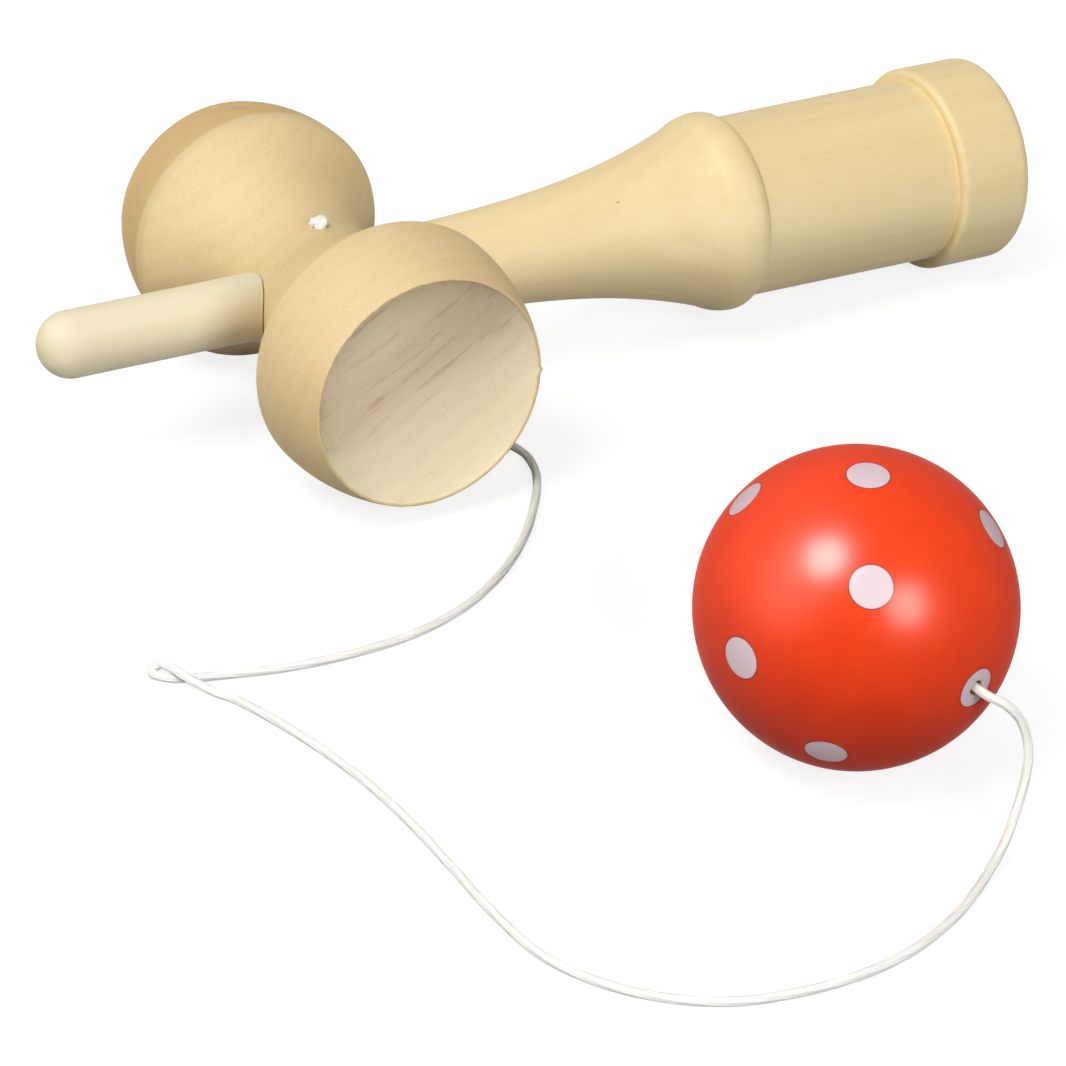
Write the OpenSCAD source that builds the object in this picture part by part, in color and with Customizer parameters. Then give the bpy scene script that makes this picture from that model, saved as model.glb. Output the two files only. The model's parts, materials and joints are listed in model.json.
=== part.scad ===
// Cup and ball toy: a turned handle with a spike, a double-cup crosspiece, and a ball on a string.
// The toy lies on its cups and its base ring, with the ball beside it. Units are millimetres.

/* [Handle] */
// Distance from the crosspiece axis to the seat of the handle inside the crosspiece
seat_at = 8; // [6:0.5:10]
// Radius of the straight tenon that enters the crosspiece
tenon_r = 8.2; // [7:0.1:9]
// Distance from the crosspiece axis to the end of the tenon
tenon_end = 16; // [15:0.5:20]
// Growth of the grip radius per millimetre of length
grip_taper = 0.035; // [0:0.005:0.06]
// Extra radius that the flare adds at its end
flare_rise = 6.5; // [4:0.1:9]
// Distance from the crosspiece axis to the end of the flare
flare_end = 74; // [68:0.5:76]
// How late the flare opens
flare_power = 3; // [2:0.1:4]
// Distance from the end of the flare to the crest of the bulge
crest_run = 5; // [3:0.5:9]
// Rise of the radius from the end of the flare to the crest
crest_rise = 1.47; // [0.6:0.01:2]
// Rounding behind the crest of the bulge
crest_round = 3.2; // [2.5:0.1:5]
// Drop of the radius from the crest to the lower barrel
barrel_drop = 1.7; // [0.8:0.1:2.4]
// Growth of the barrel's radius towards the base ring
barrel_swell = 0.3; // [0:0.05:0.8]
// Distance from the crosspiece axis to the base ring
ring_at = 122; // [110:0.2:126]
// Height of the base ring over the barrel
ring_step = 2; // [1.8:0.1:3]
// Rounding of the base ring's shoulder
ring_round = 1.2; // [0.8:0.1:1.8]
// Rounding of the base ring's foot
foot_round = 2.2; // [1:0.1:3.4]
// Distance from the crosspiece axis to the end of the base
base_at = 136.8; // [132:0.2:145]
// Width of the flat rim around the cup in the base
base_rim_w = 1.5; // [0.8:0.1:4]

/* [Spike] */
// Radius of the spike
spike_r = 5.85; // [5:0.05:6.5]
// Distance from the crosspiece axis to the tip of the spike
spike_tip = 52.6; // [45:0.2:60]
// Depth of the spike in the handle, past the handle's seat
spike_socket = 22; // [12:0.5:30]
// Radius of the spike's tenon, inside the crosspiece and the handle
spike_tenon_r = 5.6; // [4.5:0.05:5.8]
// Clearance between the shoulder of that tenon and the crosspiece
spike_shoulder_gap = 0.1; // [0.05:0.05:1]

/* [Crosspiece] */
// Radius of the waist between the cups
waist_r = 12.9; // [12:0.1:14.5]
// Rounding of the shoulder of each cup
shoulder_round = 2.6; // [1:0.1:6]
// Largest radius of the big cup
big_r = 24; // [22.5:0.1:26]
// Distance from the handle axis to the widest ring of the big cup
big_at = 25.8; // [23:0.2:29]
// Outer rim radius of the big cup
big_rim_r = 20.9; // [19.5:0.1:22]
// Distance from the handle axis to the rim of the big cup
big_rim_at = 42.2; // [38:0.2:45]
// Largest radius of the small cup
small_r = 23; // [21.5:0.1:23.8]
// Distance from the handle axis to the widest ring of the small cup
small_at = 24.9; // [22:0.1:28]
// Outer rim radius of the small cup
small_rim_r = 19.9; // [18:0.1:21]
// Distance from the handle axis to the rim of the small cup
small_rim_at = 40; // [37:0.2:44]
// Width of the rounded lip of each cup
lip_w = 0.5; // [0.3:0.1:2]
// Radius of the hollow of all three cups
cup_hollow_r = 26; // [25.5:0.5:32]

/* [Ball] */
// Radius of the ball
ball_r = 25; // [22:0.1:28]
// Place of the ball along the handle from the crosspiece axis
ball_x = 26.5; // [10:0.5:60]
// Place of the ball in front of the handle axis
ball_y = -132; // [-150:0.5:-100]
// Turn of the string hole about the vertical
hole_turn = -75.5; // [-90:0.5:-60]
// Dip of the string hole below the horizontal
hole_dip = 6; // [0:0.5:12]
// Radius of the spike hole in the ball
spike_hole_r = 8.5; // [7.5:0.1:10]
// Depth of the straight wall of the spike hole past the middle of the ball
spike_hole_past = 9; // [6:0.5:11]
// Half of the point angle of the drill that made the spike hole
drill_half_angle = 45; // [40:1:60]
// Rounding of the mouth of the spike hole
mouth_round = 1.2; // [0.4:0.1:2]

/* [String] */
// Diameter of the string
string_d = 1.5; // [1.2:0.1:2]
// Clearance around the string in each hole
string_gap = 0.4; // [0.2:0.05:0.8]
// Radius of the knots
knot_r = 1.7; // [1.5:0.1:2.2]
// Depth of the countersink that holds the crosspiece knot
countersink_depth = 0.5; // [0.3:0.1:1.2]
// Radius of the bead inside the ball
bead_r = 2.5; // [2.2:0.1:3.2]
// Length of the bead between its flat ends
bead_l = 3.6; // [3:0.1:4.2]
// Running clearance between the bead and the ball
bead_gap = 0.06; // [0.02:0.01:0.1]

/* [Hidden] */
$fn = 40;
past = 1;
shoulder_overlap_angle = 6;
string_r = string_d / 2;
string_hole_r = string_r + string_gap;

// Handle: stations of the grip, and the arc that carries the flare over the crest
flare_steps = 18;
crest_at = flare_end + crest_run;
crest_r = tenon_r + grip_taper * (flare_end - tenon_end) + flare_rise + crest_rise;
crest_arc_r = (crest_run ^ 2 + crest_rise ^ 2) / (2 * crest_rise);
crest_arc_angle = asin(crest_run / crest_arc_r);
back_angle = acos(1 - barrel_drop / crest_round);
barrel_foot_r = crest_r - barrel_drop + barrel_swell;
ring_r = barrel_foot_r + ring_step;
foot_r = ring_r - foot_round;
base_cup_r = foot_r - base_rim_w;
base_cup_depth = cup_hollow_r - sqrt(cup_hollow_r ^ 2 - base_cup_r ^ 2);
socket_end = seat_at + spike_socket;

// Crosspiece: the waist curves out to each cup, which is a shoulder, a rim arc, a lip and a hollow
function joined_arcs_r(at, rise) = (at ^ 2 + rise ^ 2) / (2 * rise);
function waist_curve(r, at) = joined_arcs_r(at, r - waist_r) - shoulder_round;
function rim_arc_r(r, at, rim_r, rim_at) =
    joined_arcs_r(rim_at - lip_w / 2 - at, r - rim_r);

big_waist_curve = waist_curve(big_r, big_at);
small_waist_curve = waist_curve(small_r, small_at);

// Spike: its shoulder stands clear of the waist's curve
entry_curve = min(big_waist_curve, small_waist_curve);
spike_shoulder_at = waist_r + entry_curve - sqrt(entry_curve ^ 2 - spike_r ^ 2) + spike_shoulder_gap;

// Rest on the table: the two cups set the roll, the base ring sets the tilt
big_c = big_r - shoulder_round;
small_c = small_r - rim_arc_r(small_r, small_at, small_rim_r, small_rim_at);
reach = big_at + small_at;
roll = acos((small_r - small_c - shoulder_round) / norm([big_c - small_c, reach]))
    - atan2(reach, big_c - small_c);
axis_h = big_c * cos(roll) + shoulder_round - big_at * sin(roll);
foot_x = base_at - foot_round;
fall = asin((axis_h - foot_round) / norm([foot_x, foot_r])) - atan2(foot_r, foot_x);
tilt = asin(sin(fall) / cos(roll));

// Middle of the box of handle, crosspiece, spike and ball: the origin stands there on the table
x_low = -(spike_tip - spike_r) * cos(tilt) - spike_r;
x_high = foot_x * cos(tilt) + foot_r * sin(tilt) + foot_round;
y_low = ball_y - ball_r;
y_high = (small_rim_at - lip_w / 2) * cos(roll) + (small_rim_r - lip_w / 2) * sin(roll) + lip_w / 2;
middle = [(x_low + x_high) / 2, (y_low + y_high) / 2, 0];

// Places in the frame of the part
function tilted(p) = [cos(tilt) * p.x + sin(tilt) * p.z, p.y, cos(tilt) * p.z - sin(tilt) * p.x];
function rolled(p) = [p.x, cos(roll) * p.y + sin(roll) * p.z, cos(roll) * p.z - sin(roll) * p.y];
function toy_point(p) = rolled(tilted(p)) + [0, 0, axis_h];
hole_out = [cos(hole_dip) * cos(hole_turn), cos(hole_dip) * sin(hole_turn), -sin(hole_dip)];
function ball_point(along) = [ball_x, ball_y, ball_r] + along * hole_out;

// Ball: the bead sits against the cone at the end of the spike hole
cone_tip = spike_hole_past + spike_hole_r / tan(drill_half_angle);
cone_end = cone_tip - string_hole_r / tan(drill_half_angle);
bead_at = cone_tip - (bead_r + bead_gap) / sin(drill_half_angle);
knot_seat = bead_at - bead_l / 2;
knot_flat_r = (knot_r + string_hole_r) / 2;
knot_flat = sqrt(knot_r ^ 2 - knot_flat_r ^ 2);

// Crosspiece knot: a cone below, in the countersink, and a dome above
countersink_foot = waist_r - countersink_depth;
knot_rim_at = countersink_foot + knot_r - string_hole_r;

// Route of the free string from the foot of the crosspiece axis, each point with the height under the
// string: down from the waist and along the table, round a small loop that passes over itself, then in
// front of the ball and up to it, ending just short of the stretch that turns with the bead
string_below = 1.1;
string_lead = 2.5;
string_break = 0.3;
string_rest = 0.05;
route_out = [
    [0.4, -1, 4.6], [3.4, -3.5, 1], [8.4, -7.8, 0.1], [16.4, -16.8, 0], [21.6, -24.4, 0], [23.6, -29.6, 0],
    [23.5, -34.2, 0], [21.4, -40.2, 0], [16.2, -48.4, 0], [9.2, -57.1, 0], [0.9, -64.6, 0],
    [-8.7, -70.4, 0], [-19.4, -73.7, 0], [-30.6, -74.3, 0], [-41.8, -73.1, 0], [-52.6, -70.1, 0],
    [-57.4, -68.4, 0], [-59.6, -67.3, 0]
];
loop_middle = [-60.7, -64.8];
loop_r = 1.3;
loop_from = 140;
loop_to = -70;
loop_steps = 6;
loop_rise = 1.1;
route_loop = [
    for (i = [0:loop_steps])
        let (heading = loop_from + (loop_to - loop_from) * i / loop_steps)
            [loop_middle.x - loop_r * sin(heading), loop_middle.y + loop_r * cos(heading),
             loop_rise * (i / loop_steps) ^ 2]
];
route_back = [
    [-59.3, -66.9, 1.65], [-58.6, -69.2, 1.65], [-57.6, -71.4, 1.3], [-55.4, -74.8, 0.5],
    [-52.5, -79, 0.05], [-48.3, -91.9, 0], [-45.4, -105.4, 0], [-44, -119, 0], [-43.7, -132.7, 0],
    [-43.6, -146.5, 0], [-41.8, -160, 0], [-35.1, -171.8, 0], [-24.4, -180.2, 0], [-11.2, -183.6, 0],
    [2.5, -183.2, 0], [15.6, -178.6, 0.1], [27.8, -170.8, 1], [34.5, -166.1, 5.3], [37.7, -163.6, 11.9],
    [37.3, -162, 17.3], [35.2, -160.7, 20.4]
];
route = concat(
    [for (z = [countersink_foot, string_lead - waist_r, -waist_r - string_below]) toy_point([0, 0, z])],
    [for (p = concat(route_out, route_loop, route_back)) p + [0, 0, string_r + string_rest]],
    [for (along = [string_lead, string_break]) ball_point(ball_r + along)]);
rings_per_step = 2;
string_sides = 8;

// Points of an arc about a centre, as [radius, height] pairs
function arc(centre, r, from, to, steps) =
    [for (i = [0:steps]) centre + r * [cos(from + (to - from) * i / steps),
                                       sin(from + (to - from) * i / steps)]];

// Radius of the grip at a distance from the crosspiece axis
function grip_r(x) = tenon_r + grip_taper * (x - tenon_end)
    + flare_rise * ((x - tenon_end) / (flare_end - tenon_end)) ^ flare_power;

// Outline of one cup from its shoulder, just inside the waist's curve, to the middle of its hollow
function cup_outline(r, at, rim_r, rim_at) =
    let (rim_arc = rim_arc_r(r, at, rim_r, rim_at),
         bend = asin(at / (waist_curve(r, at) + shoulder_round)) + shoulder_overlap_angle,
         lip_at = rim_at - lip_w / 2,
         rim_bend = asin((lip_at - at) / rim_arc),
         mouth = asin((rim_r - lip_w) / cup_hollow_r),
         hollow_at = lip_at + cup_hollow_r * cos(mouth))
    concat(arc([r - shoulder_round, at], shoulder_round, -bend, 0, 6),
           arc([r - rim_arc, at], rim_arc, rim_bend / 5, rim_bend, 4),
           arc([rim_r - lip_w / 2, lip_at], lip_w / 2, 45, 180, 3),
           arc([0, hollow_at], cup_hollow_r, mouth - 90 - mouth / 8, -90, 7));

// Catmull-Rom point between the second and third of four points
function smooth_point(a, b, c, d, t) = 0.5 * (2 * b + (c - a) * t
    + (2 * a - 5 * b + 4 * c - d) * t ^ 2 + (3 * b - a - 3 * c + d) * t ^ 3);
function smooth_route(p) = [
    for (i = [0:len(p) - 2], k = [0:rings_per_step - 1])
        smooth_point(p[max(i - 1, 0)], p[i], p[i + 1], p[min(i + 2, len(p) - 1)], k / rings_per_step),
    p[len(p) - 1]
];
function unit(v) = v / norm(v);
function square_to(v, t) = unit(v - (v * t) * t);

// Tube of an even number of sides along a line of points
module tube_along(p, r, sides) {
    last = len(p) - 1;
    along = [for (i = [0:last]) unit(p[min(i + 1, last)] - p[max(i - 1, 0)])];
    side = [for (i = 0, s = square_to([1, 0, 0], along[0]); i <= last;
                 i = i + 1, s = square_to(s, along[min(i, last)])) s];
    points = [for (i = [0:last], k = [0:sides - 1])
        p[i] + r * (cos(360 * k / sides) * side[i]
                    + sin(360 * k / sides) * cross(along[i], side[i]))];
    walls = [for (i = [0:last - 1], k = [0:sides - 1], half = [0, 1])
        let (a = i * sides + k, b = i * sides + (k + 1) % sides)
            half == 0 ? [a, a + sides, b] : [b, a + sides, b + sides]];
    near_cap = [for (k = [1:sides - 2]) [0, k, k + 1]];
    far_cap = [for (k = [1:sides - 2]) [last * sides, last * sides + k + 1, last * sides + k]];
    polyhedron(points, concat(walls, near_cap, far_cap));
}

// Places of the pieces
module on_toy() {
    translate([0, 0, axis_h] - middle)
        rotate([-roll, 0, 0])
            rotate([0, tilt, 0])
                children();
}

module on_ball() {
    translate([ball_x, ball_y, ball_r] - middle)
        rotate([0, 90 + hole_dip, hole_turn])
            children();
}

// A turned shape about the handle axis, its outline drawn from the spike towards the base
module turned_along_handle() {
    rotate([0, 90, 0])
        rotate_extrude()
            children();
}

// Handle: tenon, grip, bulge, barrel and base ring, with the base cup and the spike's socket
module handle() {
    color("#ecd9ae")
        on_toy()
            turned_along_handle()
                polygon(concat(
                    [[spike_tenon_r, seat_at], [tenon_r, seat_at]],
                    [for (i = [0:flare_steps])
                        let (x = tenon_end + (flare_end - tenon_end) * i / flare_steps) [grip_r(x), x]],
                    arc([crest_r - crest_arc_r, crest_at], crest_arc_r, -crest_arc_angle * 3 / 4, 0, 3),
                    arc([crest_r - crest_round, crest_at], crest_round, back_angle / 5, back_angle, 4),
                    [[barrel_foot_r, ring_at]],
                    arc([ring_r - ring_round, ring_at + ring_round], ring_round, -90, 0, 5),
                    arc([foot_r, foot_x], foot_round, 0, 90, 5),
                    arc([0, base_at - base_cup_depth + cup_hollow_r], cup_hollow_r,
                        asin(base_cup_r / cup_hollow_r) - 90, -90, 6),
                    [[0, socket_end], [spike_tenon_r, socket_end]]));
}

// Spike: a dowel with a round tip, and a tenon that goes through the crosspiece into the handle
module spike() {
    color("#f0e4bc")
        on_toy()
            difference() {
                turned_along_handle()
                    polygon(concat(arc([0, spike_r - spike_tip], spike_r, -90, 0, 8),
                                   [[spike_r, -spike_shoulder_at], [spike_tenon_r, -spike_shoulder_at],
                                    [spike_tenon_r, socket_end], [0, socket_end]]));
                string_hole();
            }
}

// Crosspiece: a spool with a cup in each end, bored for the spike and the handle
module crosspiece() {
    color("#ead3a4")
        on_toy()
            difference() {
                rotate([90, 0, 0])
                    rotate_extrude()
                        difference() {
                            polygon(concat(
                                cup_outline(big_r, big_at, big_rim_r, big_rim_at),
                                mirrored_back(cup_outline(small_r, small_at, small_rim_r, small_rim_at))));
                            waist_cut(big_waist_curve, 0);
                            waist_cut(small_waist_curve, -small_waist_curve);
                        }
                bore_along_handle(spike_tenon_r, -big_r, seat_at);
                bore_along_handle(tenon_r, seat_at, big_r);
                string_hole();
                translate([0, 0, countersink_foot])
                    cylinder(r1 = string_hole_r, r2 = string_hole_r + countersink_depth + past,
                             h = countersink_depth + past);
            }
}

// The hollow of the waist on one side of the handle axis: half a disc that starts at a height
module waist_cut(r, from) {
    intersection() {
        translate([waist_r + r, 0])
            circle(r = r);
        translate([waist_r, from])
            square([2 * r, r]);
    }
}

// The small cup's outline on the far side, run backwards to the waist
function mirrored_back(p) = [for (i = [len(p) - 1:-1:0]) [p[i].x, -p[i].y]];

module bore_along_handle(r, from, to) {
    translate([from, 0, 0])
        rotate([0, 90, 0])
            cylinder(r = r, h = to - from);
}

module string_hole() {
    translate([0, 0, -waist_r - past])
        cylinder(r = string_hole_r, h = 2 * (waist_r + past));
}

// Crosspiece knot: the end of the string, drawn into its countersink
module crosspiece_knot() {
    color("#f4f0ea")
        on_toy()
            rotate_extrude()
                polygon(concat([[0, countersink_foot], [string_hole_r, countersink_foot]],
                               arc([0, knot_rim_at], knot_r, 0, 90, 6)));
}

// Ball: drilled for the spike from one side, with the string hole opposite
module ball() {
    mouth_at = sqrt((ball_r - mouth_round) ^ 2 - (spike_hole_r + mouth_round) ^ 2);
    mouth_angle = atan2(mouth_at, spike_hole_r + mouth_round);
    hole_angle = acos(string_hole_r / ball_r);
    color("#e8371f")
        on_ball()
            rotate_extrude()
                polygon(concat(
                    arc([spike_hole_r + mouth_round, -mouth_at], mouth_round, 180, 360 - mouth_angle, 4),
                    arc([0, 0], ball_r, 3 - mouth_angle, hole_angle, 30),
                    [[string_hole_r, cone_end], [spike_hole_r, spike_hole_past]]));
}

// Bead: holds the string in the ball
module bead() {
    flat = acos(bead_l / 2 / bead_r);
    color("#d9b98a")
        on_ball()
            rotate_extrude()
                polygon(concat([[string_hole_r, bead_at - bead_l / 2]],
                               arc([0, bead_at], bead_r, flat - 90, 90 - flat, 8),
                               [[string_hole_r, bead_at + bead_l / 2]]));
}

// Bead knot: the other end of the string, with a flat on the bead
module bead_knot() {
    top = asin(knot_flat / knot_r);
    color("#f4f0ea")
        on_ball()
            rotate_extrude()
                polygon(concat(arc([0, knot_seat - knot_flat], knot_r, -90, top, 8),
                               [[0, knot_seat]]));
}

// String in the ball: the straight stretch from the knot to the hole in the ball
module string_in_ball() {
    color("#f4f0ea")
        on_ball()
            translate([0, 0, knot_seat])
                cylinder(r = string_r, h = ball_r - knot_seat);
}

// String: the free stretch from the crosspiece knot to the ball, laid on the table
module string() {
    color("#f4f0ea")
        translate(-middle)
            tube_along(smooth_route(route), string_r, string_sides);
}

handle();
spike();
crosspiece();
crosspiece_knot();
ball();
bead();
bead_knot();
string_in_ball();
string();
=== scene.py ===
"""Cup and ball toy: turned wooden pieces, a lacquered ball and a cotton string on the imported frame."""

import json
from math import acos, asin, atan2, cos, exp, hypot, pi, radians, sin, sqrt, tan

import bmesh
import bpy
from bpy.props import FloatProperty, FloatVectorProperty, PointerProperty
from mathutils import Matrix, Vector


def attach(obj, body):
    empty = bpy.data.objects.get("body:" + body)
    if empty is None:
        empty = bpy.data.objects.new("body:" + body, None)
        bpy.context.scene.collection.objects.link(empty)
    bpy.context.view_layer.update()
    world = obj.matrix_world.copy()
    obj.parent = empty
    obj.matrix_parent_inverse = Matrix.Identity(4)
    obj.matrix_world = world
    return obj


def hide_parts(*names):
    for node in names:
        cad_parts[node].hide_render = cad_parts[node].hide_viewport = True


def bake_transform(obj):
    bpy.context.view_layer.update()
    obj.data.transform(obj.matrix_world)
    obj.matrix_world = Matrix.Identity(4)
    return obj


bl_info = {
    "name": "Cup and ball toy",
    "version": (1, 0, 0),
    "blender": (4, 5, 0),
    "location": "3D View > Sidebar > Toy",
    "description": "Builds a turned cup and ball toy: handle, spike, crosspiece, ball, bead and string",
    "category": "Object",
}

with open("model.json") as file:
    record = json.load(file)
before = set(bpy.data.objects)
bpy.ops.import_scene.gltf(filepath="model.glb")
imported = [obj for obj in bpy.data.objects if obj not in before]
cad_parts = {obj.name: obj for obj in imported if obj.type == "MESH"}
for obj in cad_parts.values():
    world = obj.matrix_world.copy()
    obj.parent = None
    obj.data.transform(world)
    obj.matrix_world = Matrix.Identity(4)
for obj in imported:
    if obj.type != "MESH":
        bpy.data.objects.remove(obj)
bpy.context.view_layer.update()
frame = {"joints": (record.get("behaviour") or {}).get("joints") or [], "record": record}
MM = 0.001


# Values that a user would change

def linear(code):
    """An sRGB hex colour as linear red, green, blue and alpha."""
    parts = [int(code[i:i + 2], 16) / 255 for i in (1, 3, 5)]
    return [c / 12.92 if c <= 0.04045 else ((c + 0.055) / 1.055) ** 2.4 for c in parts] + [1.0]


def length(name, description, millimetres):
    return FloatProperty(name=name, description=description, default=millimetres * MM,
                         unit="LENGTH", precision=5)


def colour(name, description, code):
    return FloatVectorProperty(name=name, description=description, default=linear(code),
                               subtype="COLOR", size=4, min=0, max=1)


class HandleSizes(bpy.types.PropertyGroup):
    seat_at: length("Seat", "From the crosspiece axis to the seat of the handle", 8)
    tenon_r: length("Tenon radius", "Radius of the tenon in the crosspiece", 8.2)
    tenon_end: length("Tenon end", "From the crosspiece axis to the end of the tenon", 16)
    grip_taper: FloatProperty(name="Grip taper", description="Growth of the radius per length",
                              default=0.035)
    flare_rise: length("Flare rise", "Radius that the flare adds at its end", 6.5)
    flare_end: length("Flare end", "From the crosspiece axis to the end of the flare", 74)
    flare_power: FloatProperty(name="Flare power", description="How late the flare opens", default=3)
    crest_run: length("Crest run", "From the end of the flare to the crest of the bulge", 5)
    crest_rise: length("Crest rise", "From the end of the flare up to the crest", 1.47)
    crest_round: length("Crest rounding", "Rounding behind the crest", 3.2)
    barrel_drop: length("Barrel drop", "From the crest down to the barrel", 1.7)
    barrel_swell: length("Barrel swell", "Growth of the barrel towards the base ring", 0.3)
    ring_at: length("Ring place", "From the crosspiece axis to the base ring", 122)
    ring_step: length("Ring step", "Height of the base ring over the barrel", 2)
    ring_round: length("Ring rounding", "Rounding of the ring's shoulder", 1.2)
    foot_round: length("Foot rounding", "Rounding of the ring's foot", 2.2)
    base_at: length("Base", "From the crosspiece axis to the end of the base", 136.8)
    base_rim_w: length("Base rim", "Width of the flat rim around the base cup", 1.5)


class SpikeSizes(bpy.types.PropertyGroup):
    r: length("Radius", "Radius of the spike", 5.85)
    tip: length("Tip", "From the crosspiece axis to the tip", 52.6)
    tenon_r: length("Tenon radius", "Radius inside the crosspiece and the handle", 5.6)
    shoulder_gap: length("Shoulder gap", "Clearance between the shoulder and the crosspiece", 0.1)
    socket: length("Socket", "Depth in the handle, past the seat", 22)
    seam: length("Seam", "Gap around the tenon in its bore", 0.1)


class CrosspieceSizes(bpy.types.PropertyGroup):
    waist_r: length("Waist radius", "Radius of the waist", 12.9)
    shoulder_round: length("Shoulder rounding", "Rounding of the shoulder of each cup", 2.6)
    big_r: length("Big cup radius", "Largest radius of the big cup", 24)
    big_at: length("Big cup place", "From the handle axis to the widest ring", 25.8)
    big_rim_r: length("Big rim radius", "Outer rim radius of the big cup", 20.9)
    big_rim_at: length("Big rim place", "From the handle axis to the rim", 42.2)
    small_r: length("Small cup radius", "Largest radius of the small cup", 23)
    small_at: length("Small cup place", "From the handle axis to the widest ring", 24.9)
    small_rim_r: length("Small rim radius", "Outer rim radius of the small cup", 19.9)
    small_rim_at: length("Small rim place", "From the handle axis to the rim", 40)
    lip_w: length("Lip width", "Width of the rounded lip of each cup", 0.5)
    hollow_r: length("Hollow radius", "Radius of the hollow of all three cups", 26)


class BallSizes(bpy.types.PropertyGroup):
    r: length("Radius", "Radius of the ball", 25)
    spike_hole_r: length("Spike hole radius", "Radius of the hole for the spike", 8.5)
    spike_hole_past: length("Spike hole depth", "Depth of its wall past the middle", 9)
    drill_half_angle: FloatProperty(name="Drill angle", description="Half of the drill's point angle",
                                    default=radians(45), subtype="ANGLE")
    mouth_round: length("Mouth rounding", "Rounding of the mouth of the spike hole", 1.2)
    edge_round: length("String hole edge", "Rounding of the edge of the string hole", 0.45)
    spot_r: length("Spot radius", "Radius of a painted spot", 3.25)


class StringSizes(bpy.types.PropertyGroup):
    d: length("Diameter", "Diameter of the string", 1.5)
    gap: length("Hole gap", "Clearance around the string in each hole", 0.4)
    knot_r: length("Knot radius", "Radius of the knots", 1.7)
    countersink_depth: length("Countersink", "Depth that the crosspiece knot is drawn in", 0.5)
    bead_r: length("Bead radius", "Radius of the bead inside the ball", 2.5)
    bead_l: length("Bead length", "Length of the bead between its flat ends", 3.6)
    bead_gap: length("Bead gap", "Running clearance between bead and ball", 0.06)
    lay: length("Lay", "Length in which a strand goes once round the string", 60)


class ToyColours(bpy.types.PropertyGroup):
    lime: colour("Lime wood", "Body colour of the turned wood", "#eddaab")
    lime_late: colour("Late wood", "Darker bands and fibres of the wood", "#d6b982")
    cross: colour("Crosspiece", "Body colour of the crosspiece", "#dec899")
    cross_late: colour("Crosspiece bands", "Darker bands and pores of the crosspiece", "#cdad79")
    # The brown rim tint is painted shade: it darkens the far cup past its widest ring
    rim: colour("Brown rim", "Tint of the browner wood on the far cup's rim", "#eee2d2")
    dowel: colour("Dowel", "Body colour of the spike", "#e7dcbf")
    dowel_late: colour("Dowel fibres", "Darker fibres of the spike", "#d6c395")
    heart: colour("Heart streaks", "Streaks that show in the hollow of the cups", "#ad7d65")
    hollow: colour("Hollow", "Body colour of the wood in the cups", "#f2e6c7")
    hollow_late: colour("Hollow bands", "Darker bands of the wood in the cups", "#d9c8a3")
    lacquer: colour("Lacquer", "Red of the ball", "#ff4711")
    # The deep red serves both the random unevenness of the coat and painted shade on the ball's lower side
    lacquer_deep_and_shade: colour("Deep lacquer", "Red of the ball where the coat is thick", "#b52907")
    outline: colour("Spot outline", "Thin line of lacquer round each spot", "#591612")
    coat: colour("Top coat", "Tint of the thin top coat, which deepens the red at the edge of the ball",
                 "#f1ecec")
    spot: colour("Spots", "Paint of the spots", "#e8d6db")
    cotton: colour("Cotton", "Yarn of the string", "#eeede7")
    cotton_shade: colour("Cotton shade", "Yarn between the fibres", "#d8d6ca")
    bead: colour("Bead", "Wood of the bead and of the bare hole", "#c39f6f")


class ToySettings(bpy.types.PropertyGroup):
    handle: PointerProperty(type=HandleSizes)
    spike: PointerProperty(type=SpikeSizes)
    crosspiece: PointerProperty(type=CrosspieceSizes)
    ball: PointerProperty(type=BallSizes)
    string: PointerProperty(type=StringSizes)
    colours: PointerProperty(type=ToyColours)


def toy():
    return bpy.context.scene.toy_settings


# Places of the pieces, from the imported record

MOUNTS = {mount["name"]: mount for mount in frame["record"]["mounts"]}
JOINTS = {joint["name"]: joint for joint in frame["joints"]}
TO_BASE = -Vector(MOUNTS["spike_pin"]["axis"]).normalized()
TO_BIG_CUP = TO_BASE.cross(Vector((1, 0, 0))).normalized()
TOY_UP = TO_BIG_CUP.cross(TO_BASE)
HOLE_OUT = Vector(JOINTS["ball_spin"]["axis"]).normalized()
BALL_AT = Vector(JOINTS["ball_spin"]["pos_m"])


def from_axes(x, y, z, at):
    """A placing matrix from three axes and an origin."""
    turn = Matrix((x, y, z)).transposed().to_4x4()
    return Matrix.Translation(at) @ turn


def toy_place():
    """Axes of the toy: towards the base, towards the small cup, and up, about the crosspiece's middle."""
    spike = toy().spike
    free = MOUNTS["spike_pin"]["dims"]["length_mm"] * MM
    at = Vector(MOUNTS["spike_pin"]["pos_m"]) + TO_BASE * (spike.tip - spike.r - free / 2)
    return from_axes(TO_BASE, -TO_BIG_CUP, TOY_UP, at)


def along_handle():
    return toy_place() @ Matrix.Rotation(pi / 2, 4, "Y")


def along_crosspiece():
    return toy_place() @ Matrix.Rotation(pi / 2, 4, "X")


def along_ball():
    side = HOLE_OUT.orthogonal().normalized()
    return from_axes(side, HOLE_OUT.cross(side), HOLE_OUT, BALL_AT)


# Shaping

def arc(centre, r, start, end, steps):
    """Points of an arc, as (radius, height) pairs; the angles are radians."""
    return [(centre[0] + r * cos(start + (end - start) * i / steps),
             centre[1] + r * sin(start + (end - start) * i / steps)) for i in range(steps + 1)]


def line(a, b, steps):
    """Points from a to b without b."""
    return [(a[0] + (b[0] - a[0]) * i / steps, a[1] + (b[1] - a[1]) * i / steps)
            for i in range(steps)]


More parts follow.
